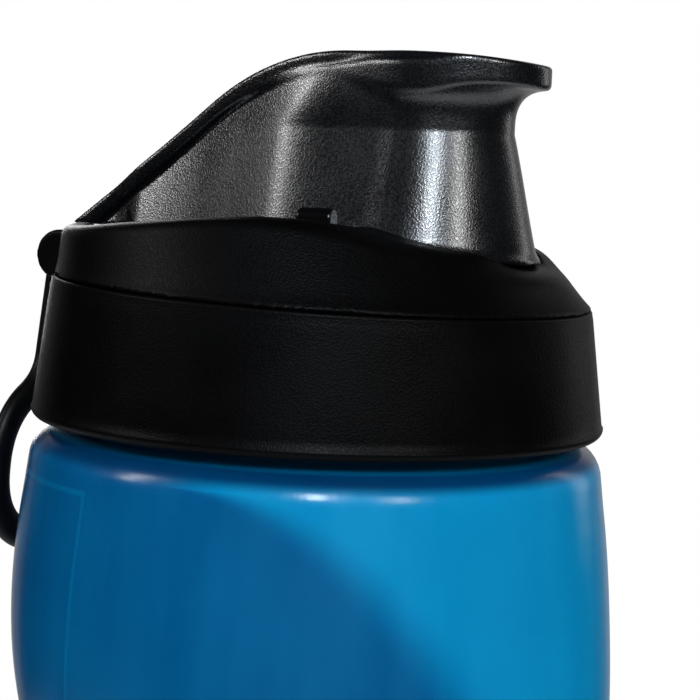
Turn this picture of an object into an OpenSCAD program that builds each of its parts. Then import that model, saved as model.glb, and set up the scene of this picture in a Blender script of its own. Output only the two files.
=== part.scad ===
// Sports squeeze bottle with a screw lid, a flip cap over the drinking spout and a carry loop.
// The bottle's axis is Z, the front (the spout side) is +X, and the base stands on Z = 0.

/* [Bottle] */
// Height of the lower edge of the grip collar above the base
collar_z = 195; // [185:1:205]
// Largest radius of the body
body_r = 39.3; // [38.8:0.1:39.8]
// Wall thickness of the body
wall = 1.4; // [1.2:0.1:1.8]
// Depth of the tilted waist groove
waist_depth = 5.2; // [3:0.1:6]
// Tilt of the waist groove, higher at the rear
waist_tilt = 12; // [6:1:14]

/* [Neck and thread] */
// Outer radius of the neck
neck_r = 29; // [28.8:0.1:29.1]
// Lead of the screw thread
lead = 6; // [5.6:0.1:6.4]
// Turns of thread on the neck
turns = 1.25; // [1:0.05:1.4]

/* [Lid] */
// Outer radius of the collar at its lower edge
collar_r = 36; // [35.8:0.1:36.2]
// Outer radius of the collar at its upper edge
collar_top_r = 33.9; // [33.6:0.1:34.1]
// Height of the collar at the bottle's axis
collar_h = 16.6; // [16.4:0.1:16.8]
// Slope of the collar's upper edge, lower at the front, in degrees
collar_slope = 1.6; // [1.2:0.1:1.8]
// Highest point of the deck's rim
deck_top = 26; // [25.6:0.1:26.4]

/* [Flip cap] */
// Radius of the spout cover where it meets the deck
cover_r = 13.9; // [13.6:0.1:14.1]
// Radius of the spout cover's neck
cover_neck_r = 9.85; // [9.7:0.1:10.1]
// Thickness of the top plate
plate_t = 2.8; // [2.4:0.1:3]
// Wall thickness of the cap
cap_wall = 1.5; // [1.2:0.1:1.6]

/* [Hinge] */
// Radius of the hinge pin
pin_r = 1; // [0.9:0.05:1.1]
// Radius of the hinge barrel
barrel_r = 3.2; // [3:0.1:3.3]
// Running clearance between pin and knuckle
pin_gap = 0.05; // [0.03:0.01:0.08]

/* [Carry loop] */
// Half the outer width of the loop's ring
loop_half = 15.5; // [14.5:0.1:16.5]
// Width of the loop's band
loop_band = 4; // [3.6:0.1:4.4]
// Thickness of the loop
loop_t = 2.6; // [2.2:0.1:2.8]

/* [Hidden] */

$fn = 96;
eps = 0.05;
far = 100;
reach = 20;

// Places in the lid's own frame, whose origin is on the axis at the collar's lower edge
spout_x = 13.6;
hinge_x = -33.2;
hinge_z = 19.4;
neck_top = 13;
mouth_r = neck_r - 2;
insert_r = 31.9;
thread_root = 30.6;
thread_crest = neck_r + 0.35;
ridge = 1.2;
disc_z = 14.5;
disc_t = 1.6;
floor_z = 23.1;
cap_z = 23.3;
nose_x = 19.3;
nose_r = 8.95;
cover_front_z = 21.3;
cover_neck_z = 37;
knuckle_half = 3.8;
arm_room = 9;
eye_in = 4.1;
eye_out = 6.8;
ear_in = 7.1;
ear_out = 9.6;
slot_x = -28.3;
spout_top = 38.6;
foot_r = 11.5;
foot_t = 1.6;
body_blue = [0.05, 0.5, 0.72];
black = [0.06, 0.06, 0.065];
dark = [0.12, 0.12, 0.13];

// ---- Curves ----------------------------------------------------------------------------------

// Points of an arc about [x, y]
function arc(x, y, r, a0, a1, n) =
    [for (i = [0:n]) let (a = a0 + (a1 - a0) * i / n) [x + r * cos(a), y + r * sin(a)]];

// Outer profile of the body below the collar, from the neck down to the base
shoulder_r = 4.5;
shoulder_z = -1;
wall_top_r = collar_r + 0.1;
flare_z = -33;
widest_z = -48;
base_r = 37.4;
corner_r = 6;

function body_profile(t) = concat(
    [[0, shoulder_z - t]],
    arc(wall_top_r - shoulder_r, shoulder_z - shoulder_r, shoulder_r - t, 90, 0, 8),
    [
        [body_r - 0.6 - t, flare_z],
        [body_r - 0.1 - t, (flare_z + widest_z) / 2],
        [body_r - t, widest_z],
        [body_r - t, widest_z - 22],
        [body_r - 0.7 - t, widest_z - 60]
    ],
    arc(base_r - corner_r, corner_r - collar_z, corner_r - t, 0, -90, 8),
    [[0, t - collar_z]]
);

// Height of the plate's upper face over x: a straight climb, then two arcs
climb = 39;
crest_r = 33.3;
crest_x = 5.5;
crest_z = 46.3;
crest_start = crest_x - crest_r * sin(climb);
crest_start_z = crest_z - crest_r * (1 - cos(climb));
front_x = 12;
front_r = 140;
tip_x = nose_x + nose_r + 0.4;
rear_x = hinge_x - 0.2;
plate_rear = hinge_x - 2.4;

function plate_top(drop) = concat(
    [[plate_rear, crest_start_z - (crest_start - plate_rear) * tan(climb) - drop]],
    [for (i = [0:12]) let (a = climb * (1 - i / 12))
        [crest_x - crest_r * sin(a), crest_z - crest_r * (1 - cos(a)) - drop]],
    [for (i = [1:5]) let (x = front_x + (tip_x - front_x) * i / 5)
        [x, crest_z - pow(x - front_x, 2) / (2 * front_r) - drop]]
);

function backwards(p) = [for (i = [len(p) - 1:-1:0]) p[i]];

// ---- Helpers ---------------------------------------------------------------------------------

module on_lid() {
    translate([0, 0, collar_z]) children();
}

module along_y(half) {
    rotate([90, 0, 0]) linear_extrude(2 * half, center = true) children();
}

module barrel(r, y0, y1) {
    translate([hinge_x, y1, hinge_z]) rotate([90, 0, 0]) cylinder(r = r, h = y1 - y0, $fn = 48);
}

// One helical ridge, sunk a little into the wall of radius r0 and r1 at its crest, from height z
thread_steps = 40;
root_half = 1.3;
crest_half = 0.6;
bury = 0.4;

function ridge_ring(r0, r1, z, i) =
    let (
        a = 360 * turns * i / thread_steps,
        h = z + lead * turns * i / thread_steps,
        s = sign(r1 - r0),
        c = cos(a),
        d = sin(a),
        b = r0 - s * bury
    )
    [
        [b * c, b * d, h - root_half],
        [r1 * c, r1 * d, h - crest_half],
        [r1 * c, r1 * d, h + crest_half],
        [b * c, b * d, h + root_half]
    ];

module helix(r0, r1, z) {
    sides = 4;
    points = [for (i = [0:thread_steps]) each ridge_ring(r0, r1, z, i)];
    last = thread_steps * sides;
    outward = r1 > r0;
    quads = [
        for (i = [0:thread_steps - 1], j = [0:sides - 1])
            let (a = i * sides + j, b = i * sides + (j + 1) % sides)
            outward ? [a, b, b + sides, a + sides] : [b, a, a + sides, b + sides]
    ];
    start = [for (j = [0:sides - 1]) j];
    end = [for (j = [0:sides - 1]) last + j];
    caps = outward ? [backwards(start), end] : [start, backwards(end)];
    polyhedron(points, concat(quads, caps), convexity = 6);
}

// The slanted half-space above the collar's upper edge, raised by lift
module above_collar(lift) {
    translate([0, 0, collar_h + lift])
        rotate([0, collar_slope, 0])
        translate([-far / 2, -far / 2, 0])
        cube([far, far, far]);
}

// ---- Bottle ----------------------------------------------------------------------------------

// The tilted groove that makes the waist, as a ring with a round section
waist_r = 45;
waist_z = -59;

module waist_ring(t) {
    translate([0, 0, waist_z])
        rotate([0, waist_tilt, 0])
        rotate_extrude($fn = 96)
        translate([body_r - waist_depth + waist_r, 0])
        circle(r = waist_r + t);
}

module bottle_body() {
    color(body_blue) on_lid()
        difference() {
            union() {
                difference() {
                    rotate_extrude() polygon(body_profile(0));
                    waist_ring(0);
                }
                translate([0, 0, shoulder_z - 1]) cylinder(r = neck_r, h = neck_top - shoulder_z + 1);
                helix(neck_r, neck_r + ridge, 3.6);
            }
            difference() {
                rotate_extrude() polygon(body_profile(wall));
                waist_ring(wall);
            }
            translate([0, 0, shoulder_z - 5]) cylinder(r = mouth_r, h = neck_top - shoulder_z + 6);
        }
}

// ---- Lid -------------------------------------------------------------------------------------

module neck_gasket() {
    color([0.85, 0.86, 0.86]) on_lid()
        translate([0, 0, neck_top + eps])
        difference() {
            cylinder(r = neck_r + 0.4, h = disc_z - neck_top - 2 * eps);
            translate([0, 0, -1]) cylinder(r = mouth_r, h = 4);
        }
}

module threaded_insert() {
    color(dark) on_lid() {
        difference() {
            translate([0, 0, 1]) cylinder(r = insert_r, h = disc_z + disc_t - 1);
            cylinder(r = thread_root, h = disc_z);
            translate([spout_x, 0, disc_z - 1]) cylinder(r = 7, h = disc_t + 2);
        }
        helix(thread_root, thread_crest, 3.6 - lead / 2);
    }
}

module grip_collar() {
    edge = 0.5;
    color(black) on_lid()
        difference() {
            rotate_extrude() polygon([
                [insert_r + 0.1, 0],
                [collar_r - edge, 0],
                [collar_r, edge],
                [collar_top_r, collar_h + 1],
                [insert_r + 0.1, collar_h + 1]
            ]);
            above_collar(0);
            barrel(barrel_r + 0.4, -ear_out - 0.4, ear_out + 0.4);
        }
}

// Outer shape of the deck: a leaning crown, steep at the front and upright at the rear
module crown() {
    top_r = 29.2;
    hull() {
        translate([0, 0, collar_h - 1.6]) cylinder(r = collar_top_r - 0.3, h = eps, $fn = 64);
        translate([hinge_x + top_r, 0, deck_top]) cylinder(r = top_r, h = eps, $fn = 64);
    }
}

// Side view of the deck's rim, from the rear to the ledge in front of the spout cover
module rim_profile() {
    polygon([
        [-40, collar_h - 4],
        [-40, floor_z - 0.3],
        [-31, floor_z - 0.2],
        [-22, floor_z + 0.6],
        [-12, floor_z + 1.8],
        [-2, deck_top - 0.1],
        [7, deck_top],
        [15, deck_top - 1.2],
        [25, cap_z - 0.8],
        [27.3, cover_front_z + 0.1],
        [40, cover_front_z - 1.4],
        [40, collar_h - 4]
    ]);
}

module lid_deck() {
    pocket_r = 26.2;
    pocket_front = 12;
    hollow_r = 25.5;
    spout_hole_r = 9.2;
    seat_gap = 0.3;
    ear_gap = barrel_r + 0.4;
    rear = 45;
    color(black) on_lid()
        difference() {
            union() {
                intersection() {
                    crown();
                    along_y(far / 2) rim_profile();
                    above_collar(eps);
                }
                translate([0, 0, disc_z + disc_t + eps])
                    cylinder(r = insert_r, h = collar_h + 2 - disc_z - disc_t);
                // Ears that hold the hinge pin
                barrel(barrel_r, -ear_out, -ear_in);
                barrel(barrel_r, ear_in, ear_out);
            }
            // Pocket behind the rim
            intersection() {
                translate([hinge_x + 3 + pocket_r, 0, floor_z]) cylinder(r = pocket_r, h = 9);
                translate([-far / 2, -far / 2, floor_z - 1]) cube([far / 2 + pocket_front, far, 12]);
            }
            // Seat under the front of the cap, clear of the cap's slanted edge
            intersection() {
                translate([spout_x, 0, floor_z - 6]) cylinder(r = cover_r + 0.5, h = 15);
                translate([0, 0, -seat_gap]) difference() {
                    translate([-far / 2, -far / 2, floor_z - 6]) cube([far, far, 16]);
                    cap_underside();
                }
            }
            // Hollow underside
            translate([-3.5, 0, disc_z]) cylinder(r = hollow_r, h = floor_z - 2 - disc_z);
            // Seat on the insert's disc, and the room for the spout's foot and tube
            cylinder(r = insert_r + 0.1, h = disc_z + disc_t + eps);
            translate([spout_x, 0, disc_z]) cylinder(r = foot_r + 0.2, h = disc_t + foot_t + 1.2);
            translate([spout_x, 0, floor_z - 6]) cylinder(r = spout_hole_r, h = 10);
            // Room for the loop's eyes and the cap's knuckle
            barrel(ear_gap, -ear_in, ear_in);
            translate([-rear, -ear_in, hinge_z]) cube([rear + slot_x, 2 * ear_in, 12]);
            translate([-rear, -ear_in, hinge_z - ear_gap]) cube([rear + hinge_x, 2 * ear_in, 12]);
            barrel(pin_r + 0.02, -ear_out - 1, ear_out + 1);
        }
}

module drinking_spout() {
    foot_z = disc_z + disc_t + eps;
    color(dark) on_lid() translate([spout_x, 0, 0])
        rotate_extrude() polygon([
            [5, foot_z],
            [foot_r, foot_z],
            [foot_r, foot_z + foot_t],
            [8.6, foot_z + 2.6],
            [8.2, floor_z + 1],
            [7, spout_top - 4],
            [7.3, spout_top - 2.4],
            [7.3, spout_top - 0.8],
            [6.6, spout_top],
            [5.8, spout_top],
            [5.8, spout_top - 3],
            [4.8, spout_top - 3],
            [4.8, foot_z + 4]
        ]);
}

module spout_valve() {
    low = spout_top - 3 + eps;
    color([0.8, 0.82, 0.83]) on_lid() translate([spout_x, 0, 0])
        difference() {
            rotate_extrude() polygon([
                [0, low - 1.2],
                [3, low - 0.5],
                [4.4, low],
                [5.7, low],
                [5.7, low + 1],
                [3.8, low + 1],
                [3, low + 0.4],
                [0, low - 0.4]
            ]);
            // The cross slit that opens when the bottle is squeezed
            for (a = [45, 135])
                rotate(a) translate([-2.4, -0.06, low - 3]) cube([4.8, 0.12, 5]);
        }
}

module valve_retainer() {
    low = spout_top - 3 + 1 + 2 * eps;
    color(dark) on_lid() translate([spout_x, 0, low])
        difference() {
            cylinder(r = 5.75, h = spout_top - 0.2 - low);
            translate([0, 0, -1]) cylinder(r = 4.3, h = 5);
        }
}

// ---- Flip cap --------------------------------------------------------------------------------

// Half width of the top plate and of the side panels at the rear end
tail_half = 4.7;
tail_x = -31;

module plate_plan() {
    lean = asin((nose_r - tail_half) / (nose_x - tail_x));
    translate([nose_x, 0]) circle(r = nose_r);
    polygon([
        [nose_x + nose_r * sin(-lean), nose_r * cos(lean)],
        [tail_x, tail_half],
        [plate_rear, tail_half],
        [plate_rear, -tail_half],
        [tail_x, -tail_half],
        [nose_x + nose_r * sin(-lean), -nose_r * cos(lean)]
    ]);
}

// Side panels: a wedge that narrows to the rear and upwards
module wedge(t) {
    low = cap_z - 4;
    high = crest_z;
    xf = spout_x;
    xr = rear_x + t;
    wl = cover_r - 0.6 - t;
    wh = cover_neck_r - 1.2 - t;
    rl = tail_half - 0.1 - t;
    rh = tail_half - 0.6 - t;
    polyhedron(
        [
            [xr, -rl, low], [xf, -wl, low], [xf, wl, low], [xr, rl, low],
            [xr, -rh, high], [xf, -wh, high], [xf, wh, high], [xr, rh, high]
        ],
        [[0, 1, 2, 3], [7, 6, 5, 4], [0, 4, 5, 1], [1, 5, 6, 2], [2, 6, 7, 3], [3, 7, 4, 0]]
    );
}

module cover(t) {
    translate([spout_x, 0, cover_front_z - 2])
        cylinder(r1 = cover_r + 0.5 - t, r2 = cover_neck_r - t, h = cover_neck_z - cover_front_z + 2);
    translate([spout_x, 0, cover_neck_z - eps]) cylinder(r = cover_neck_r - t, h = 12);
}

module below_plate(drop) {
    along_y(reach) polygon(concat(
        plate_top(drop),
        [[tip_x, cover_front_z - 3], [plate_rear, cover_front_z - 3]]
    ));
}

// Concave flare that joins the spout cover to the plate's front lip
module lip_flare() {
    flare = 4;
    intersection() {
        translate([spout_x, 0, 0]) rotate_extrude() polygon(concat(
            [[cover_neck_r - 1, cover_neck_z + 0.5]],
            arc(cover_neck_r + flare, cover_neck_z + 0.5, flare, 180, 90, 6),
            [[cover_neck_r + flare, crest_z], [cover_neck_r - 1, crest_z]]
        ));
        translate([0, 0, cover_neck_z]) linear_extrude(12) plate_plan();
        below_plate(plate_t / 2);
    }
}

module cap_underside() {
    // Flat behind the spout, then slanted down to the front edge
    drop = (cap_z - cover_front_z) / cover_r;
    along_y(reach) polygon([
        [-60, cap_z],
        [spout_x, cap_z],
        [spout_x + 40, cap_z - 40 * drop],
        [spout_x + 40, 0],
        [-60, 0]
    ]);
}

module flip_cap() {
    seal_r = 4.1;
    color(black) on_lid()
        difference() {
            union() {
                intersection() {
                    along_y(reach) polygon(concat(plate_top(0), backwards(plate_top(plate_t))));
                    linear_extrude(60) plate_plan();
                }
                difference() {
                    intersection() {
                        union() {
                            wedge(0);
                            cover(0);
                        }
                        below_plate(plate_t / 2);
                    }
                    intersection() {
                        union() {
                            wedge(cap_wall);
                            cover(cap_wall);
                        }
                        below_plate(plate_t - eps);
                    }
                    cap_underside();
                }
                lip_flare();
                // Socket for the spout seal's stem
                translate([spout_x, 0, spout_top + 2.4])
                    difference() {
                        cylinder(r = seal_r + 1.2, h = 4);
                        translate([0, 0, -1]) cylinder(r = seal_r, h = 9);
                    }
                barrel(barrel_r, -knuckle_half, knuckle_half);
            }
            // Room beside the knuckle for the loop's arms as the cap and the loop both swing back
            barrel(arm_room, knuckle_half, reach);
            barrel(arm_room, -reach, -knuckle_half);
            barrel(pin_r + pin_gap, -reach, reach);
        }
}

module spout_seal() {
    color([0.8, 0.82, 0.83]) on_lid() translate([spout_x, 0, 0])
        rotate_extrude() polygon([
            [0, spout_top - 1.3],
            [2.6, spout_top - 1.3],
            [3.2, spout_top + 0.2],
            [7, spout_top + 0.2],
            [7, spout_top + 1.6],
            [4, spout_top + 1.6],
            [4, spout_top + 4.5],
            [0, spout_top + 4.5]
        ]);
}

module hinge_pin() {
    color([0.6, 0.6, 0.62]) on_lid() barrel(pin_r, -ear_out + 0.2, ear_out - 0.2);
}

// ---- Carry loop ------------------------------------------------------------------------------

ring_low = -20.9;
ring_top = 5.2;

// Rounded ring seen from behind: width runs along Y, height along Z
function oval(half_w, low, high, n) =
    let (c = (low + high) / 2, h = (high - low) / 2)
    [for (i = [0:n - 1]) let (a = 360 * i / n)
        [
            half_w * sign(cos(a)) * pow(abs(cos(a)), 0.85),
            c + h * sign(sin(a)) * pow(abs(sin(a)), 0.85)
        ]];

module loop_outline() {
    difference() {
        union() {
            polygon(oval(loop_half, ring_low, ring_top, 64));
            translate([-eye_out, 0]) square([2 * eye_out, hinge_z]);
        }
        polygon(oval(loop_half - loop_band, ring_low + loop_band, ring_top - loop_band, 64));
        translate([-eye_in, -8]) square([2 * eye_in, 40]);
    }
}

module carry_loop() {
    x_top = hinge_x - barrel_r + 2.2;
    x_mid = -collar_r - 0.6;
    x_low = -38.4;
    color(black) on_lid()
        difference() {
            union() {
                intersection() {
                    along_y(reach) polygon([
                        [x_top, hinge_z],
                        [x_mid, 0],
                        [x_low, ring_low - 1],
                        [x_low - loop_t, ring_low - 1],
                        [x_mid - loop_t, 0],
                        [x_top - loop_t, hinge_z]
                    ]);
                    translate([-60, 0, 0]) rotate([90, 0, 90]) linear_extrude(60) loop_outline();
                }
                barrel(barrel_r, -eye_out, -eye_in);
                barrel(barrel_r, eye_in, eye_out);
            }
            barrel(pin_r + pin_gap, -reach, reach);
        }
}

// ---- Latch tabs ------------------------------------------------------------------------------

// Half-round catch that stands on the deck beside the cap and holds it shut
module latch_tab() {
    length = 4.4;
    half = 1.3;
    height = 2.6;
    y_in = 14.6;
    translate([3.7, y_in + half, floor_z + eps]) {
        translate([0, -half, 0]) cube([length, 2 * half, height - half + 1.6]);
        translate([0, 0, height - half + 1.6]) rotate([0, 90, 0]) cylinder(r = half, h = length, $fn = 48);
    }
}

module latch_tab_left() {
    color(dark) on_lid() latch_tab();
}

module latch_tab_right() {
    color(dark) on_lid() mirror([0, 1, 0]) latch_tab();
}

bottle_body();
neck_gasket();
threaded_insert();
grip_collar();
lid_deck();
drinking_spout();
spout_valve();
valve_retainer();
flip_cap();
spout_seal();
hinge_pin();
carry_loop();
latch_tab_left();
latch_tab_right();
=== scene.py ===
"""The looks of a sports squeeze bottle: soft blue body, grained black lid, flip cap and carry loop."""
import math

import bpy
import numpy as np
import openvdb
from mathutils import Matrix, Vector


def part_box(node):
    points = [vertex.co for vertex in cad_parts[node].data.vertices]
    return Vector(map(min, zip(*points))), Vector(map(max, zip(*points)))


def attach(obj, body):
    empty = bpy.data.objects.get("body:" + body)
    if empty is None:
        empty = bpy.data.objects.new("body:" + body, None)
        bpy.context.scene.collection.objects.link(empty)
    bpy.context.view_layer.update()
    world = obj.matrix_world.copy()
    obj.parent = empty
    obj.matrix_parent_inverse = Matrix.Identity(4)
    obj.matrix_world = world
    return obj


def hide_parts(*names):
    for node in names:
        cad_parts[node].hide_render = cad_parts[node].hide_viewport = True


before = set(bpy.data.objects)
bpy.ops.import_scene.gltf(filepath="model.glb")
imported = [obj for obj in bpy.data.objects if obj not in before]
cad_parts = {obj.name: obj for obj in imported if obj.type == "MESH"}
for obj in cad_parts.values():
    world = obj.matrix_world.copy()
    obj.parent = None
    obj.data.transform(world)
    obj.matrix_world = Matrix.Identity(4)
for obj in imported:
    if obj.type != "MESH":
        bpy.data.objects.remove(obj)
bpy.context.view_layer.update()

# ---- Sizes ---------------------------------------------------------------------------------------
# Lengths are in millimetres. Shapes are drawn in the lid's own frame, whose origin is on the
# bottle's axis at the lower edge of the grip collar: +X is the front, +Z is up.

MM = 0.001
# The camera's place, turned from the -Y side to the front
AZIMUTH = math.radians(24)


def box_mm(node):
    """The low and high corners of a CAD node, in millimetres."""
    low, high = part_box(node)
    return np.array(low) / MM, np.array(high) / MM


COLLAR_LOW, COLLAR_HIGH = box_mm("grip_collar")
LID_Z = COLLAR_LOW[2]
COLLAR_R = COLLAR_HIGH[1]
SPOUT_LOW, SPOUT_HIGH = box_mm("drinking_spout")
SPOUT_X = (SPOUT_LOW[0] + SPOUT_HIGH[0]) / 2
PIN_LOW, PIN_HIGH = box_mm("hinge_pin")
HINGE_X = (PIN_LOW[0] + PIN_HIGH[0]) / 2
HINGE_Z = (PIN_LOW[2] + PIN_HIGH[2]) / 2 - LID_Z
BODY_LOW, BODY_HIGH = box_mm("bottle_body")
BODY_R = BODY_HIGH[1]
NECK_TOP = BODY_HIGH[2] - LID_Z
BASE_Z = BODY_LOW[2] - LID_Z
INSERT_R = box_mm("threaded_insert")[1][1]
TAB_LOW, TAB_HIGH = box_mm("latch_tab_right")
LOOP_HALF = box_mm("carry_loop")[1][1]

# The hinge: the cap's knuckle in the middle, then the loop's eyes, then the deck's ears
BARREL_R = 3.2
KNUCKLE_HALF = 3.8
EYE_IN = 4.1
EYE_OUT = 6.8
EAR_IN = 7.1
EAR_OUT = 9.6
PIN_HOLE = 1.05

# The collar's upper edge and its slope to the front, the pocket's floor and the cap's lower edge
COLLAR_TOP_R = 33.9
COLLAR_H = 16.6
COLLAR_SLOPE = math.tan(math.radians(1.6))
FLOOR_Z = 23.1
CAP_Z = 23.3

# ---- Shapes as distances -------------------------------------------------------------------------


def smooth_min(a, b, k):
    """The union of two distances, blended over about k."""
    h = np.maximum(k - np.abs(a - b), 0) / k
    return np.minimum(a, b) - h * h * k / 4


def smooth_max(a, b, k):
    """The overlap of two distances, blended over about k."""
    return -smooth_min(-a, -b, k)


def ramp(x, start, end):
    """A smooth step from 0 at the start to 1 at the end."""
    t = np.clip((x - start) / (end - start), 0, 1)
    return t * t * (3 - 2 * t)


def through(x, xs, ys):
    """A smooth curve through a few points."""
    xs = np.array(xs, float)
    ys = np.array(ys, float)
    slopes = np.gradient(ys, xs)
    i = np.clip(np.searchsorted(xs, x) - 1, 0, len(xs) - 2)
    width = xs[i + 1] - xs[i]
    t = np.clip((x - xs[i]) / width, 0, 1)
    rise = ys[i + 1] - ys[i]
    a = slopes[i] * width - rise
    b = rise - slopes[i + 1] * width
    return ys[i] + t * rise + t * (1 - t) * ((1 - t) * a + t * b)


# Newton steps that bring a mesh onto its surface
SETTLE_STEPS = 4


def surface(distance, low, high, step):
    """Points and quads of the surface where the distance is zero, from a grid of the given step."""
    low = np.array(low, float)
    axes = [np.arange(a, b + step, step) for a, b in zip(low, high)]
    values = distance(*np.meshgrid(*axes, indexing="ij"))
    grid = openvdb.FloatGrid(1.0)
    grid.copyFromArray(values.astype(np.float32))
    points, quads = grid.convertToQuads()
    points = points.astype(float) * step + low
    probe = step * 0.25
    for _ in range(SETTLE_STEPS):
        here = distance(*points.T)
        slope = np.empty_like(points)
        for axis in range(3):
            ahead = points.copy()
            behind = points.copy()
            ahead[:, axis] += probe
            behind[:, axis] -= probe
            slope[:, axis] = (distance(*ahead.T) - distance(*behind.T)) / (2 * probe)
        steep = np.maximum((slope * slope).sum(axis=1), 0.05)
        move = slope * (here / steep)[:, None]
        points -= np.clip(move, -step / 2, step / 2)
    return points, outward(points, quads)


def outward(points, faces):
    """The faces, turned so that the closed mesh has a positive volume."""
    a, b, c, d = (points[faces[:, i]] for i in range(4))
    volume = (np.cross(a - c, b - d) * (a + b + c + d)).sum()
    return faces if volume > 0 else faces[:, ::-1]


def lathe(rings):
    """Quads of a closed stack of rings, an array of (ring, place round it, xyz)."""
    count, sides = rings.shape[:2]
    i, j = np.meshgrid(np.arange(count), np.arange(sides), indexing="ij")
    up = (i + 1) % count
    along = (j + 1) % sides
    quads = np.stack([i * sides + j, i * sides + along, up * sides + along, up * sides + j], -1)
    points = rings.reshape(-1, 3)
    return points, outward(points, quads.reshape(-1, 4))


# ---- Materials -----------------------------------------------------------------------------------


class Nodes:
    """A small helper that builds one node-based material."""

    def __init__(self, name):
        self.material = bpy.data.materials.new(name)
        self.material.use_nodes = True
        self.tree = self.material.node_tree
        self.shader = self.tree.nodes["Principled BSDF"]
        self.place = self.tree.nodes.new("ShaderNodeTexCoord").outputs["Object"]

    def node(self, kind, **values):
        """A new node; each value goes to the input of that name, or else to the node's own setting."""
        made = self.tree.nodes.new(kind)
        for key, value in values.items():
            if key in made.inputs.keys():
                made.inputs[key].default_value = value
            else:
                setattr(made, key, value)
        return made

    def link(self, a, b):
        self.tree.links.new(a, b)

    def stretched(self, scale):
        """The place on the object, scaled along each axis."""
        mapping = self.node("ShaderNodeMapping", Scale=scale)
        self.link(self.place, mapping.inputs["Vector"])
        return mapping.outputs["Vector"]

    def noise(self, size_mm, detail=2.0, distortion=0.0, place=None):
        """Noise from 0 to 1 whose features are about size_mm across."""
        scale = 1 / (size_mm * MM)
        noise = self.node("ShaderNodeTexNoise", Scale=scale, Detail=detail, Distortion=distortion)
        self.link(place or self.place, noise.inputs["Vector"])
        return noise.outputs["Fac"]

    def between(self, value, low, high, out_low=0.0, out_high=1.0):
        """A smooth step of the value, from out_low at low to out_high at high."""
        span = self.node("ShaderNodeMapRange", interpolation_type="SMOOTHSTEP")
        span.inputs["From Min"].default_value = low
        span.inputs["From Max"].default_value = high
        span.inputs["To Min"].default_value = out_low
        span.inputs["To Max"].default_value = out_high
        self.link(value, span.inputs["Value"])
        return span.outputs["Result"]

    def math(self, operation, a, b=0):
        """One step of arithmetic on sockets or plain numbers."""
        made = self.node("ShaderNodeMath", operation=operation)
        for socket, value in zip(made.inputs, (a, b)):
            if isinstance(value, (int, float)):
                socket.default_value = value
            else:
                self.link(value, socket)
        return made.outputs[0]

    def mix(self, share, a, b):
        """Two colours mixed by a share, 0 for the first."""
        made = self.node("ShaderNodeMix", data_type="RGBA")
        self.link(share, made.inputs["Factor"])
        for socket, value in ((made.inputs[6], a), (made.inputs[7], b)):
            if isinstance(value, tuple):
                socket.default_value = (*value, 1)
            else:
                self.link(value, socket)
        return made.outputs[2]

    def bump(self, height, depth_mm, under=None):
        """A normal for a relief of the given depth, on top of another normal if there is one."""
        made = self.node("ShaderNodeBump", Strength=1.0, Distance=depth_mm * MM)
        self.link(height, made.inputs["Height"])
        if under:
            self.link(under, made.inputs["Normal"])
        return made.outputs["Normal"]

    def finish(self, colour, roughness, normal, **plain):
        """The material, with its textures and plain values set on the shader."""
        self.link(colour, self.shader.inputs["Base Color"])
        self.link(roughness, self.shader.inputs["Roughness"])
        self.link(normal, self.shader.inputs["Normal"])
        for key, value in plain.items():
            self.shader.inputs[key.replace("_", " ")].default_value = value
        return self.material


def grained(name, dark, light, roughness, grain_mm, depth_mm, specular):
    """Moulded black plastic with a fine leather-like grain."""
    n = Nodes(name)
    grain = n.noise(grain_mm, detail=1)
    pebble = n.between(grain, 0.35, 0.65)
    broad = n.noise(14, detail=3)
    fine = n.noise(grain_mm / 3, detail=0)
    colour = n.mix(n.between(broad, 0.35, 0.65), dark, light)
    rough = n.math("ADD", n.between(broad, 0.3, 0.7, roughness - 0.03, roughness + 0.03),
                   n.between(pebble, 0, 1, 0.04, -0.04))
    normal = n.bump(pebble, depth_mm, n.bump(fine, depth_mm / 12))
    return n.finish(colour, rough, normal, Specular_IOR_Level=specular)


def smooth_plastic(name, dark, light, roughness, specular=0.5):
    """Smooth moulded plastic or rubber with faint flow marks and tiny scuffs."""
    n = Nodes(name)
    flow = n.noise(9, detail=4, distortion=1.2)
    scuffs = n.noise(0.5, detail=3, place=n.stretched((1, 1, 0.15)))
    colour = n.mix(n.between(flow, 0.3, 0.7), dark, light)
    rough = n.math("ADD", n.between(flow, 0.3, 0.7, roughness - 0.03, roughness + 0.03),
                   n.between(scuffs, 0.55, 0.75, 0, 0.08))
    normal = n.bump(scuffs, 0.008)
    return n.finish(colour, rough, normal, Specular_IOR_Level=specular)


def silicone_look():
    """Cloudy soft silicone."""
    n = Nodes("milky_silicone")
    cloud = n.noise(2.5, detail=3)
    colour = n.mix(n.between(cloud, 0.3, 0.7), (0.62, 0.66, 0.68), (0.76, 0.79, 0.8))
    rough = n.between(cloud, 0.3, 0.7, 0.38, 0.48)
    normal = n.bump(n.noise(0.3), 0.004)
    return n.finish(colour, rough, normal, Subsurface_Weight=0.4, Subsurface_Scale=0.001)


def steel_look():
    """Drawn steel wire with fine lines along it."""
    n = Nodes("drawn_steel")
    lines = n.noise(0.12, detail=3, place=n.stretched((1, 0.03, 1)))
    colour = n.mix(lines, (0.5, 0.5, 0.52), (0.66, 0.66, 0.68))
    rough = n.between(lines, 0.3, 0.7, 0.22, 0.36)
    return n.finish(colour, rough, n.bump(lines, 0.004), Metallic=1.0)


# The body's painted shade on the left and painted light on the right meet at a border that bends to the
# right as it goes down. It starts below the lid and stops bending further down, where it also gets
# softer.
BORDER_TOP = -4
BORDER_BEND = 22
BORDER_SIDE = -13.7
BORDER_REACH = 6.5
SOFT_FROM = -26
SOFT_HALF = 4.7
SOFT_GROWTH = 0.25
# Colours of the painted shade on the left side and the painted light on the right side
SHADED_SIDE_BLUE = (0.0, 0.078, 0.22)
LIT_SIDE_BLUE = (0.0, 0.25, 0.50)
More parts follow.
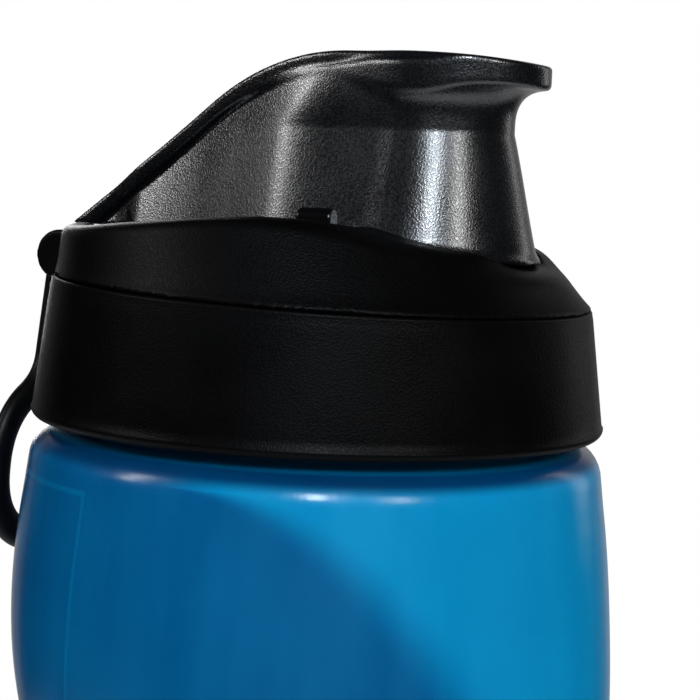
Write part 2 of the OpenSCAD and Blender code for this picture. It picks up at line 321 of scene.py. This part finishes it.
# Painted shadow: a dark band runs round the shoulder just under the collar, where the collar shades it,
# and the neck above it is painted lighter again
SHADOW_BAND_BLUE = (0.0, 0.034, 0.11)
PALE_SHADOW_BLUE = (0.0, 0.20, 0.42)
# The fill strip's outline: its front edge's angle from the front and its top's height
STRIP_START = math.radians(113)
STRIP_TOP = -6.5


def painted_light_side(n, x, y, height):
    """How much painted light the wall gets, from 0 (painted shade) on the left of the border to 1 on
    its right.
    """
    right = n.math("MULTIPLY", x, math.cos(AZIMUTH))
    across = n.math("ADD", right, n.math("MULTIPLY", y, math.sin(AZIMUTH)))
    below = n.math("MAXIMUM", n.math("SUBTRACT", BORDER_TOP, height), 0)
    below = n.math("MINIMUM", below, BORDER_BEND)
    border = n.math("MULTIPLY", n.math("POWER", below, 0.5), BORDER_REACH)
    border = n.math("ADD", border, BORDER_SIDE)
    far = n.math("MAXIMUM", n.math("SUBTRACT", SOFT_FROM, height), 0)
    spread = n.math("ADD", n.math("MULTIPLY", far, SOFT_GROWTH), SOFT_HALF)
    return n.between(n.math("DIVIDE", n.math("SUBTRACT", across, border), spread), -1, 1)


def strip_outline(n, x, y, height):
    """A thin line along the fill strip's front edge and its top."""
    side = n.math("MULTIPLY", n.math("ARCTAN2", n.math("MULTIPLY", y, -1), x), BODY_R)
    start = STRIP_START * BODY_R
    above = n.math("SUBTRACT", height, STRIP_TOP)
    edge = n.math("MAXIMUM", n.math("ABSOLUTE", n.math("SUBTRACT", side, start)), above)
    top = n.math("MAXIMUM", n.math("ABSOLUTE", above), n.math("SUBTRACT", start, side))
    return n.between(n.math("MINIMUM", edge, top), 0.12, 0.5, 1.0, 0.0)


def body_look():
    """Translucent blue plastic: painted shade and painted light on the wall's two sides, a painted
    shadow under the collar, soft flow marks and a fill strip's faint outline.
    """
    n = Nodes("translucent_blue")
    split = n.node("ShaderNodeSeparateXYZ")
    n.link(n.place, split.inputs[0])
    x, y, z = (n.math("MULTIPLY", split.outputs[i], 1 / MM) for i in range(3))
    height = n.math("SUBTRACT", z, LID_Z)

    cloud = n.noise(26, detail=2)
    streaks = n.noise(6, detail=3, place=n.stretched((1, 1, 0.12)))
    outline = strip_outline(n, x, y, height)
    # The share is mostly painted light and shade, plus random cloud tone, flow streaks and the strip's
    # outline
    share = n.math("MULTIPLY", painted_light_side(n, x, y, height), 0.8)
    share = n.math("ADD", share, n.between(cloud, 0.3, 0.7, 0.0, 0.14))
    share = n.math("ADD", share, n.between(streaks, 0.3, 0.7, -0.04, 0.06))
    share = n.math("ADD", share, n.math("MULTIPLY", outline, 0.16))

    # Painted shadow under the collar, darkest in the band and lighter towards the neck
    collar_shadow = n.mix(n.between(height, -1.8, -0.9), SHADOW_BAND_BLUE, PALE_SHADOW_BLUE)
    # Painted shaded side and painted lit side of the wall
    colour = n.mix(share, SHADED_SIDE_BLUE, LIT_SIDE_BLUE)
    # The painted collar shadow covers the wall's top few millimetres
    colour = n.mix(n.between(height, -4.0, -2.4), colour, collar_shadow)
    rough = n.between(streaks, 0.3, 0.7, 0.2, 0.27)
    normal = n.bump(n.noise(0.7, detail=2), 0.010, n.bump(n.noise(7, detail=2), 0.08))
    normal = n.bump(outline, 0.05, normal)
    return n.finish(colour, rough, normal, Subsurface_Weight=0.4, Subsurface_Scale=0.003,
                    Subsurface_Radius=(0.15, 0.7, 1.0), Specular_IOR_Level=0.25)


BODY = body_look()
LID = grained("grained_black", (0.0010, 0.0010, 0.0011), (0.0018, 0.0018, 0.0020),
              roughness=0.40, grain_mm=0.24, depth_mm=0.012, specular=0.06)
CAP = grained("grained_cap_black", (0.0012, 0.0014, 0.0020), (0.0020, 0.0024, 0.0036),
              roughness=0.27, grain_mm=0.24, depth_mm=0.009, specular=1.0)
LOOP = smooth_plastic("loop_rubber", (0.0020, 0.0020, 0.0020), (0.0035, 0.0035, 0.0035), 0.45, 0.2)
TAB = smooth_plastic("tab_black", (0.0015, 0.0015, 0.0018), (0.0030, 0.0030, 0.0034), 0.18)
INSERT = smooth_plastic("insert_dark", (0.03, 0.03, 0.033), (0.045, 0.045, 0.048), 0.4)
SILICONE = silicone_look()
STEEL = steel_look()


# ---- Pieces --------------------------------------------------------------------------------------


def piece(name, shape, body, look, slot, *nodes):
    """A visible piece from points and quads in the lid's frame, which stands for some CAD nodes."""
    points, quads = shape
    mesh = bpy.data.meshes.new(name)
    mesh.from_pydata(((points + [0, 0, LID_Z]) * MM).tolist(), [], quads.tolist())
    mesh.polygons.foreach_set("use_smooth", np.ones(len(quads), bool))
    mesh.materials.append(look)
    made = bpy.data.objects.new(name, mesh)
    bpy.context.scene.collection.objects.link(made)
    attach(made, body)
    if nodes:
        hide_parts(*nodes)
    return made


def from_hinge(x, z):
    """Distance from the hinge pin's axis."""
    return np.hypot(x - HINGE_X, z - HINGE_Z)


# The squeeze body

SHOULDER_R = 4.5
SHOULDER_Z = -1.0
SHOULDER_OUT = 36.1
WALL = 1.4
NECK_R = 29.0
FOOT_OUT = 37.4
FOOT_R = 6.0
BASE_HOLLOW = 1.3
# The wall's radius at some heights, before the waist is pressed in
WALL_Z = [BASE_Z + 8, -140, -108, -70, -48, -36, -26, -14, -5.5]
WALL_R = [37.9, 38.4, 38.8, 39.2, 39.3, 39.0, 38.4, 37.3, 36.1]
# The waist: a groove that runs lower in front than behind
WAIST_Z = -59
WAIST_DROP = 9
WAIST_DEPTH = 5.5
WAIST_SPREAD = 18.0
# The waist leaves everything inside this radius as it is
WAIST_INSIDE = 33
# Places round a lathed shape
ROUND = 360


def arc(x, z, r, start, end, count):
    """Points on an arc, its angles in degrees from the level."""
    a = np.radians(np.linspace(start, end, count))
    return [(x + r * math.cos(t), z + r * math.sin(t)) for t in a]


def body_profile(t):
    """Radius and height of the body's skin, t inside the outer face, from the base up."""
    foot = arc(FOOT_OUT - FOOT_R, BASE_Z + FOOT_R, FOOT_R - t, -90, -8, 10)
    heights = np.linspace(BASE_Z + 9, -8, 110)
    wall = [(float(through(z, WALL_Z, WALL_R)) - t, z) for z in heights]
    shoulder = arc(SHOULDER_OUT - SHOULDER_R, SHOULDER_Z - SHOULDER_R, SHOULDER_R - t, 4, 90, 10)
    return foot + wall + shoulder


def body_section():
    """Radius and height round the whole wall, up the outside and down the inside."""
    base = BASE_Z + BASE_HOLLOW
    outer = [(0.01, base), (22, base), (26.5, base), (28.6, BASE_Z + 0.15), (29.6, BASE_Z)]
    outer += body_profile(0)
    outer += [(NECK_R + 0.7, SHOULDER_Z), (NECK_R + 0.1, SHOULDER_Z + 0.3), (NECK_R, SHOULDER_Z + 1)]
    outer += [(NECK_R, NECK_TOP - 0.4), (NECK_R - 0.4, NECK_TOP), (NECK_R - 1.6, NECK_TOP)]
    inner = [(NECK_R - 2, NECK_TOP - 0.4), (NECK_R - 2, SHOULDER_Z - 1.4)] + body_profile(WALL)[::-1]
    inner += [(28, BASE_Z + 2.2), (26, base + WALL), (0.01, base + WALL)]
    return np.array(outer + inner)


def squeeze_body():
    """The body as a lathe, with its waist pressed in."""
    profile = body_section()
    angle = np.linspace(0, 2 * math.pi, ROUND, endpoint=False)
    radius, z = profile[:, :1], profile[:, 1:]
    middle = WAIST_Z - WAIST_DROP * np.cos(angle)
    dent = WAIST_DEPTH * np.exp(-((z - middle) / WAIST_SPREAD) ** 2) * (radius > WAIST_INSIDE)
    radius = radius - dent
    rings = np.stack([radius * np.cos(angle), radius * np.sin(angle), z + 0 * angle], -1)
    return piece("squeeze_body", lathe(rings), "bottle", BODY, "body_blue", "bottle_body")


# The neck's thread

THREAD_LEAD = 6.0
THREAD_TURNS = 1.25
THREAD_Z = 3.6
THREAD_STEPS = 220
THREAD_TAPER = 0.06
# The ridge's section: distances out of the neck and up
THREAD_SECTION = [(-0.5, -1.4), (0.0, -1.25), (0.9, -0.65), (1.15, -0.35),
                  (1.15, 0.35), (0.9, 0.65), (0.0, 1.25), (-0.5, 1.4)]
# Depth of the ridge's root under the neck's face
THREAD_ROOT = 0.5


def strip_quads(count, sides):
    """Quads along an open row of closed sections, with a cap on each end."""
    i, j = np.meshgrid(np.arange(count - 1), np.arange(sides), indexing="ij")
    side = (j + 1) % sides
    quads = np.stack([i * sides + j, i * sides + side, (i + 1) * sides + side, (i + 1) * sides + j], -1)
    last = (count - 1) * sides
    caps = np.array([[k, k + 1, sides - 2 - k, sides - 1 - k] for k in range(sides // 2 - 1)])
    return np.vstack([quads.reshape(-1, 4), caps[:, ::-1], caps + last])


def neck_thread():
    """The neck's right-hand thread ridge, tapered at both ends."""
    t = np.linspace(0, 1, THREAD_STEPS)
    angle = 2 * math.pi * THREAD_TURNS * t
    swell = ramp(t, 0, THREAD_TAPER) * (1 - ramp(t, 1 - THREAD_TAPER, 1))
    rings = []
    for out, up in THREAD_SECTION:
        r = NECK_R + (out + THREAD_ROOT) * swell - THREAD_ROOT
        z = THREAD_Z + THREAD_LEAD * THREAD_TURNS * t + up
        rings.append(np.stack([r * np.cos(angle), r * np.sin(angle), z], -1))
    points = np.stack(rings, 1).reshape(-1, 3)
    quads = strip_quads(THREAD_STEPS, len(THREAD_SECTION))
    return piece("neck_thread", (points, outward(points, quads)), "bottle", BODY, "body_blue")


# The grip collar

COLLAR_EDGE = 1.1
COLLAR_TOP_EDGE = 0.35


def collar_section():
    """Radius, height and the share of the sloped top's height, from the inside round the outside."""
    inside = INSERT_R + 0.1
    lean = math.degrees(math.atan2(COLLAR_R - COLLAR_TOP_R, COLLAR_H))
    low_corner = arc(COLLAR_R - COLLAR_EDGE, COLLAR_EDGE, COLLAR_EDGE, -90, 8 - lean, 9)
    rings = [(inside, 0.0, 0), (inside + 0.15, 0.0, 0), (COLLAR_R - COLLAR_EDGE - 1, 0.0, 0)]
    rings += [(r, z, 0) for r, z in low_corner]
    for share in np.linspace(0.08, 0.93, 14):
        rings.append((COLLAR_R + (COLLAR_TOP_R - COLLAR_R) * share, 0.0, share))
    high_corner = arc(COLLAR_TOP_R - COLLAR_TOP_EDGE, -COLLAR_TOP_EDGE, COLLAR_TOP_EDGE, -7, 90, 7)
    rings += [(r, z, 1) for r, z in high_corner]
    return rings + [(COLLAR_TOP_R - 0.8, 0.0, 1), (inside + 0.15, 0.0, 1), (inside, -0.15, 1)]


def grip_collar():
    """The collar, whose top slopes down to the front."""
    angle = np.linspace(0, 2 * math.pi, ROUND, endpoint=False)
    top = COLLAR_H - COLLAR_SLOPE * COLLAR_TOP_R * np.cos(angle)
    stack = []
    for r, z, share in collar_section():
        stack.append(np.stack([r * np.cos(angle), r * np.sin(angle), z + share * top], -1))
    return piece("collar_shell", lathe(np.array(stack)), "lid", LID, "lid_black", "grip_collar")


# The deck: the lid's top with its rim, the seat of the cap and the hinge ears

# Height of the rim from the rear to the front
RIM_X = [-35, -25, -12, -2, 5, 10, 15, 21, 25, 27.4, 30.5, 36]
RIM_Z = [23.7, 23.7, 24.9, 25.9, 26.25, 25.9, 24.8, 23.35, 22.5, 21.1, 20.4, 19.8]
# The side leans in and to the rear as it rises, and flares out a little where it meets the collar
DECK_R = 33.45
DECK_Z = 16
LEAN_BACK = 0.40
LEAN_IN = 0.43
FLARE = 0.45
FLARE_H = 0.8
# The pocket behind the spout, the cap's seat round the spout and the spout's hole
POCKET_X = -4.0
POCKET_R = 26.2
POCKET_FRONT = 12
SEAT_R = 14.45
SEAT_GAP = 0.35
SPOUT_HOLE_R = 9.2
# The slot for the cap's tail behind the pocket
SLOT_X = -28.3
SLOT_R = 3.65
# The hollow below, with room for the insert at its foot
HOLLOW_X = -3.5
HOLLOW_R = 25.5
DECK_T = 2
DECK_FOOT_Z = 16.15
# Slant of the cap's lower edge in front of the spout's axis
CAP_SLANT = 0.144


def cap_edge(x):
    """Height of the flip cap's lower edge: level behind the spout, then slanted down to the front."""
    return CAP_Z - CAP_SLANT * np.maximum(x - SPOUT_X, 0)


def slab(y, low, high):
    """Distance from a slab between two heights or places."""
    return np.abs(y - (low + high) / 2) - (high - low) / 2


def deck_outside(x, y, z):
    """The deck before anything is cut from it: side, rim, lower face and ears."""
    seam = COLLAR_H - COLLAR_SLOPE * x
    rise = z - DECK_Z
    flare = FLARE * np.exp(-np.maximum(z - seam, 0) / FLARE_H)
    crown = 0.85 * (np.hypot(x + LEAN_BACK * rise, y) - (DECK_R - LEAN_IN * rise + flare))
    deck = smooth_max(crown, z - through(x, RIM_X, RIM_Z), 1.5)
    deck = smooth_max(deck, seam + 0.05 - z, 0.6)
    ears = smooth_max(from_hinge(x, z) - BARREL_R, slab(np.abs(y), EAR_IN, EAR_OUT), 0.5)
    return smooth_min(deck, ears, 1.2)


def deck_slot(x, y, z):
    """The room for the cap's tail and knuckle between the ears."""
    slot = np.minimum(smooth_max(x - SLOT_X, HINGE_Z - z, 0.5), from_hinge(x, z) - SLOT_R)
    slot = np.minimum(slot, np.maximum(x - HINGE_X, HINGE_Z - SLOT_R - z))
    return smooth_max(slot, np.abs(y) - EAR_IN, 0.4)


def deck_distance(x, y, z):
    """The whole deck: pocket, seat, spout's hole and slot cut into its top, and a hollow below."""
    deck = deck_outside(x, y, z)
    pocket = smooth_max(np.hypot(x - POCKET_X, y) - POCKET_R, FLOOR_Z - z, 1.2)
    pocket = smooth_max(pocket, x - POCKET_FRONT, 4.0)
    deck = smooth_max(deck, -pocket, 0.7)
    from_spout = np.hypot(x - SPOUT_X, y)
    seat = smooth_max(from_spout - SEAT_R, cap_edge(x) - SEAT_GAP - z, 0.6)
    deck = smooth_max(deck, -seat, 0.5)
    deck = smooth_max(deck, SPOUT_HOLE_R - from_spout, 0.4)
    deck = smooth_max(deck, -deck_slot(x, y, z), 0.4)
    hollow = smooth_max(np.hypot(x - HOLLOW_X, y) - HOLLOW_R, z - (FLOOR_Z - DECK_T), 0.5)
    foot = np.maximum(np.hypot(x, y) - INSERT_R - 0.1, z - DECK_FOOT_Z)
    return np.maximum(deck, -np.minimum(hollow, foot))


def deck_shell():
    shape = surface(deck_distance, (-37.5, -35, 15), (35, 35, 27.5), 0.4)
    return piece("deck_shell", shape, "lid", LID, "lid_black", "lid_deck")


# The flip cap: top plate, side panels, spout cover and hinge knuckle in one moulding

# The plate's upper face: a straight climb, an arc over the crest and a long gentle fall
CLIMB = math.radians(37.6)
CREST_R = 32.0
CREST_X = 5.5
CREST_Z = 46.3
FALL_X = 12
FALL_R = 140
PLATE_T = 3.0
PLATE_REAR = -35.8
# Half widths of the plate: a narrow tail that widens to the round head
TAIL_HALF = 4.75
HEAD_R = 8.95
HEAD_X = 19.3
TAIL_START = -29
TAIL_END = -24
HEAD_START = 10
# The wall under the plate: two side panels and a round cover that narrows upwards
CAP_WALL = 1.5
CAP_REAR = -33.4
COVER_R = 13.9
COVER_Z = 21.3
COVER_TAPER = 0.258
COVER_TOP_R = 9.85
PANEL_TAPER = 0.25
# The ring inside the cap that goes over the spout, and the cap's clearance beside its knuckle
SOCKET_R = 4.7
SOCKET_HALF_T = 0.6
SOCKET_Z = 41.0
ARM_ROOM = 9.0


def crest(x):
    """Height of the plate's upper face."""
    start = CREST_X - CREST_R * math.sin(CLIMB)
    start_z = CREST_Z - CREST_R * (1 - math.cos(CLIMB))
    line = start_z + (x - start) * math.tan(CLIMB)
    curve = CREST_Z - CREST_R + np.sqrt(CREST_R**2 - np.clip(x - CREST_X, start - CREST_X, 0) ** 2)
    front = np.maximum(x - FALL_X, 0) ** 2 / (2 * FALL_R)
    return np.where(x < start, line, curve) - front


def upright(x):
    """Share of a height that counts as a distance from the sloping plate."""
    return math.cos(CLIMB) + (1 - math.cos(CLIMB)) * ramp(x, -16, 4)


def plate_half(x):
    """Half the width of the plate behind its round head."""
    tail = KNUCKLE_HALF - 0.05 + (TAIL_HALF - KNUCKLE_HALF) * ramp(x, TAIL_START, TAIL_END)
    return tail + (HEAD_R - TAIL_HALF + 0.05) * ramp(x, TAIL_END, HEAD_START)


def cap_plate(x, y, z):
    """The top plate, with its round head over the spout."""
    above = (z - crest(x)) * upright(x)
    flank = np.where(x > HEAD_X, np.hypot(x - HEAD_X, y) - HEAD_R, np.abs(y) - plate_half(x))
    plate = smooth_max(above, -above - PLATE_T * upright(x), 0.5)
    plate = smooth_max(plate, flank, 0.8)
    return smooth_max(plate, PLATE_REAR - x, 1.0)


def cover_radius(z):
    """Radius of the round cover's outer face."""
    return np.maximum(COVER_R - COVER_TAPER * (z - COVER_Z), COVER_TOP_R)


def cap_panel(x, y, z):
    """The side panels' outer faces, which come out from under the plate and meet the cover."""
    depth = crest(x) - PLATE_T - z
    inset = 0.45 - 0.35 * ramp(x, -10, 2)
    swell = 1.0 * ramp(x, -17, 5) - 0.4
    half = plate_half(x) - inset + PANEL_TAPER * np.maximum(depth, -1.5) + swell
    half = smooth_min(half, cover_radius(z) - 0.05, 1.0)
    panel = 0.95 * (np.abs(y) - half)
    panel = smooth_max(panel, x - SPOUT_X, 1.0)
    return smooth_max(panel, CAP_REAR - x, 0.5)


def cap_cover(x, y, z):
    """The round cover's outer face, with a small lip along its lower edge."""
    lip = 0.3 * np.exp(-(((z - cap_edge(x) - 0.4) / 0.6) ** 2))
    middle = SPOUT_X + 0.4 * ramp(z, 22, 37)
    return 0.967 * (np.hypot(x - middle, y) - cover_radius(z) - lip)


def cap_hood(x, y, z):
    """The plate on its hollow wall of panels and cover."""
    above = (z - crest(x)) * upright(x)
    below = above + PLATE_T * upright(x)
    panel = cap_panel(x, y, z)
    cover = cap_cover(x, y, z)
    outside = smooth_max(smooth_min(panel, cover, 0.5), below - 1.0, 0.5)
    inside = smooth_min(panel + CAP_WALL, cover + CAP_WALL, 0.5)
    inside = smooth_max(inside, below + 0.2, 1.2)
    blend = 0.6 + 4.1 * ramp(x, 3, 15)
    hood = smooth_max(smooth_min(outside, cap_plate(x, y, z), blend), -inside, 0.4)
    return smooth_max(hood, above, 0.5)


def cap_distance(x, y, z):
    """The whole cap: hood, socket, knuckle and the hole for the pin."""
    stem = np.hypot(x - SPOUT_X, y)
    socket = smooth_max(np.abs(stem - SOCKET_R) - SOCKET_HALF_T, SOCKET_Z - z, 0.4)
    socket = np.maximum(socket, z - crest(x) + CAP_WALL)
    cap = smooth_min(cap_hood(x, y, z), socket, 0.6)
    cap = smooth_max(cap, cap_edge(x) - z, 0.5)
    side = np.abs(y)
    pin = from_hinge(x, z)
    knuckle = smooth_max(pin - BARREL_R, side - KNUCKLE_HALF, 0.5)
    cap = smooth_min(cap, knuckle, 1.0)
    beside = smooth_max(pin - ARM_ROOM, KNUCKLE_HALF - side, 0.3)
    cap = smooth_max(cap, -beside, 0.3)
    return np.maximum(cap, PIN_HOLE - pin)


def cap_shell():
    shape = surface(cap_distance, (-38, -16, 15.5), (29.5, 16, 47.5), 0.3)
    return piece("cap_shell", shape, "cap", CAP, "cap_black", "flip_cap")


# The carry loop

# The strap's thickness and width, and the heights of the ring's ends
LOOP_T = 2.6
LOOP_BAND = 4.0
RING_LOW = -20.9
RING_TOP = 4.4
# How square the ring is: 2 is an ellipse
RING_POWER = 2.35
# Lower end of the slot between the arms
SLOT_LOW = -6
# The loop's middle surface hangs from the hinge and leans out to the rear
HANG_Z = [-22, 0, HINGE_Z]
HANG_X = [-39.7, -37.9, HINGE_X - 2.3]


def oval(y, z, half, low, high):
    """About the distance from a rounded square ring, flat in y and z."""
    middle = (low + high) / 2
    tall = (high - low) / 2
    size = np.abs(y / half) ** RING_POWER + np.abs((z - middle) / tall) ** RING_POWER
    return (size ** (1 / RING_POWER) - 1) * min(half, tall)


def loop_outline(side, z):
    """The loop seen from the rear: a ring on two arms, with a slot between the arms."""
    ring = oval(side, z, LOOP_HALF, RING_LOW, RING_TOP)
    arms = smooth_max(side - EYE_OUT, slab(z, 0, HINGE_Z), 0.3)
    flat = smooth_min(ring, arms, 3.0)
    hole = oval(side, z, LOOP_HALF - LOOP_BAND, RING_LOW + LOOP_BAND, RING_TOP - LOOP_BAND)
    slot = smooth_max(side - EYE_IN, SLOT_LOW - z, 1.0)
    return smooth_max(flat, -smooth_min(hole, slot, 1.0), 0.5)


def loop_distance(x, y, z):
    """The whole loop: the outline given a thickness, two eyes and the hole for the pin."""
    side = np.abs(y)
    middle = np.interp(z, HANG_Z, HANG_X)
    loop = smooth_max(loop_outline(side, z), np.abs(x - middle) - LOOP_T / 2, 1.7)
    pin = from_hinge(x, z)
    eyes = smooth_max(pin - BARREL_R, slab(side, EYE_IN, EYE_OUT), 0.4)
    loop = smooth_min(loop, eyes, 1.0)
    # Nothing is left between the eyes and arms above the collar's lower edge
    gap = EYE_IN - side - 50 * (z < 0)
    return np.maximum(smooth_max(loop, gap, 0.3), PIN_HOLE - pin)


def loop_shell():
    shape = surface(loop_distance, (-42.5, -17, -22.5), (-29, 17, 23.5), 0.3)
    return piece("loop_strap", shape, "loop", LOOP, "loop_black", "carry_loop")


# The latch tabs


def tab_shell(name, node, mirror):
    """A small upright tab with a half-round top; mirror is -1 for the far side."""
    low, high = TAB_LOW - [0, 0, LID_Z], TAB_HIGH - [0, 0, LID_Z]
    middle, half = (low + high) / 2, (high - low) / 2

    def distance(x, y, z):
        across = mirror * y - middle[1]
        arch = np.where(z > high[2] - half[1], np.hypot(across, z - high[2] + half[1]), np.abs(across))
        tab = smooth_max(arch - half[1], np.abs(x - middle[0]) - half[0], 0.35)
        return smooth_max(tab, low[2] - z, 0.2)

    ends = sorted([mirror * low[1], mirror * high[1]])
    start = (low[0] - 0.5, ends[0] - 0.5, low[2] - 0.5)
    end = (high[0] + 0.5, ends[1] + 0.5, high[2] + 0.5)
    return piece(name, surface(distance, start, end, 0.12), "lid", TAB, "tab_black", node)


squeeze_body()
neck_thread()
grip_collar()
deck_shell()
cap_shell()
loop_shell()
tab_shell("tab_far", "latch_tab_left", -1)
tab_shell("tab_near", "latch_tab_right", 1)

# The inner pieces keep their CAD shapes
INNER = {
    "neck_gasket": SILICONE,
    "threaded_insert": INSERT,
    "drinking_spout": INSERT,
    "spout_valve": SILICONE,
    "valve_retainer": INSERT,
    "spout_seal": SILICONE,
    "hinge_pin": STEEL,
}
for node, look in INNER.items():
    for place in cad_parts[node].material_slots:
        place.material = look

# ---- Stage, light and camera ---------------------------------------------------------------------

FLOOR_R = 0.42
FLOOR_SIDES = 96
# The lights look at a point this high above the collar's lower edge
LIGHT_TARGET = 20
# The soft fill comes from the front on the right
FILL_AZIMUTH = 70
FILL_ELEVATION = 10


def floor():
    """A round pale floor, small enough to stay under the camera's view."""
    n = Nodes("pale_floor")
    cloud = n.noise(60, detail=2)
    colour = n.mix(cloud, (0.86, 0.86, 0.86), (0.9, 0.9, 0.9))
    look = n.finish(colour, n.between(cloud, 0.3, 0.7, 0.6, 0.7), n.bump(n.noise(4), 0.01))
    mesh = bpy.data.meshes.new("floor")
    angle = np.linspace(0, 2 * math.pi, FLOOR_SIDES, endpoint=False)
    rim = np.stack([FLOOR_R * np.cos(angle), FLOOR_R * np.sin(angle), 0 * angle], -1)
    mesh.from_pydata(rim.tolist(), [], [list(range(FLOOR_SIDES))])
    mesh.materials.append(look)
    made = bpy.data.objects.new("floor", mesh)
    bpy.context.scene.collection.objects.link(made)


def direction(azimuth, elevation):
    """The way to a place at these angles; azimuth 0 is on the -Y side and 90 is in front."""
    a, e = math.radians(azimuth), math.radians(elevation)
    return Vector((math.sin(a) * math.cos(e), -math.cos(a) * math.cos(e), math.sin(e)))


def soft_light(name, azimuth, elevation, away, width, height, power, colour=(1, 1, 1)):
    """An area light that looks at the lid from some way off; lengths in metres, power in watts."""
    light = bpy.data.lights.new(name, "AREA")
    light.shape = "RECTANGLE"
    light.size = width
    light.size_y = height
    light.energy = power
    light.color = colour
    made = bpy.data.objects.new(name, light)
    target = Vector((0, 0, (LID_Z + LIGHT_TARGET) * MM))
    made.location = target + direction(azimuth, elevation) * away
    made.rotation_euler = (target - made.location).to_track_quat("-Z", "Y").to_euler()
    bpy.context.scene.collection.objects.link(made)


def glow_towards(tree, way, start, end, low, high):
    """A background that grows from low to high towards one way."""
    place = tree.nodes.new("ShaderNodeTexCoord")
    dot = tree.nodes.new("ShaderNodeVectorMath")
    dot.operation = "DOT_PRODUCT"
    dot.inputs[1].default_value = way
    glow = tree.nodes.new("ShaderNodeMapRange")
    glow.interpolation_type = "SMOOTHSTEP"
    for name, value in (("From Min", start), ("From Max", end), ("To Min", low), ("To Max", high)):
        glow.inputs[name].default_value = value
    shade = tree.nodes.new("ShaderNodeBackground")
    shade.inputs["Color"].default_value = (1, 1, 1, 1)
    tree.links.new(place.outputs["Generated"], dot.inputs[0])
    tree.links.new(dot.outputs["Value"], glow.inputs["Value"])
    tree.links.new(glow.outputs["Result"], shade.inputs["Strength"])
    return shade.outputs["Background"]


def by_ray(tree, kind, other, chosen):
    """One background for rays of a kind and another for all other rays."""
    path = tree.nodes.new("ShaderNodeLightPath")
    mix = tree.nodes.new("ShaderNodeMixShader")
    tree.links.new(path.outputs[kind], mix.inputs["Fac"])
    tree.links.new(other, mix.inputs[1])
    tree.links.new(chosen, mix.inputs[2])
    return mix.outputs["Shader"]


def studio():
    """White for the camera; reflections see a dark room that is bright straight behind the object."""
    world = bpy.data.worlds.new("studio")
    world.use_nodes = True
    tree = world.node_tree
    white = tree.nodes["Background"]
    white.inputs["Color"].default_value = (1, 1, 1, 1)
    away = (-math.sin(AZIMUTH), math.cos(AZIMUTH), 0)
    behind = glow_towards(tree, away, 0.72, 1.0, 0.002, 0.5)
    fill = glow_towards(tree, direction(FILL_AZIMUTH, FILL_ELEVATION), -0.6, 0.9, 0.08, 0.42)
    lit = by_ray(tree, "Is Glossy Ray", fill, behind)
    seen = by_ray(tree, "Is Camera Ray", lit, white.outputs["Background"])
    tree.links.new(seen, tree.nodes["World Output"].inputs["Surface"])
    bpy.context.scene.world = world


# The camera, close to the lid: its distance from the bottle's axis and height above the collar's
# lower edge, then its small turns off the straight view
EYE_AWAY = 250.0
EYE_HEIGHT = 32.73
PAN = 0.015
PITCH = 0.094
ROLL = 0.044
LENS = 102
SENSOR = 36
CLIP_START = 0.01


def camera():
    """A close camera at the lid's height, in front and a little to the right, with a slight roll."""
    turn = Matrix.Rotation(AZIMUTH, 3, "Z")
    ahead = Vector((math.sin(PAN) * math.cos(PITCH), math.cos(PAN) * math.cos(PITCH), -math.sin(PITCH)))
    right = Vector((math.cos(PAN), -math.sin(PAN), 0))
    up = right.cross(ahead)
    across = right * math.cos(ROLL) + up * math.sin(ROLL)
    above = up * math.cos(ROLL) - right * math.sin(ROLL)
    axes = [turn @ across, turn @ above, turn @ -ahead]
    data = bpy.data.cameras.new("camera")
    data.lens = LENS
    data.sensor_width = SENSOR
    data.clip_start = CLIP_START
    made = bpy.data.objects.new("camera", data)
    made.matrix_world = Matrix(axes).transposed().to_4x4()
    made.location = turn @ Vector((0, -EYE_AWAY, 0)) * MM + Vector((0, 0, (LID_Z + EYE_HEIGHT) * MM))
    bpy.context.scene.collection.objects.link(made)
    bpy.context.scene.camera = made


floor()
# Name, azimuth, elevation, distance, width, height and power
soft_light("key", 25, 32, 0.75, 0.07, 0.20, 3.4, (0.84, 0.92, 1.0))
soft_light("low_key", 58, 27, 0.8, 0.12, 0.20, 1.5)
soft_light("left", -56, 29, 0.8, 0.06, 0.26, 1.6)
soft_light("right_edge", 152, 12, 0.8, 0.10, 0.5, 0.35)
soft_light("left_edge", -140, 12, 0.8, 0.12, 0.5, 0.9)
studio()
camera()
bpy.context.scene.view_settings.view_transform = "Standard"
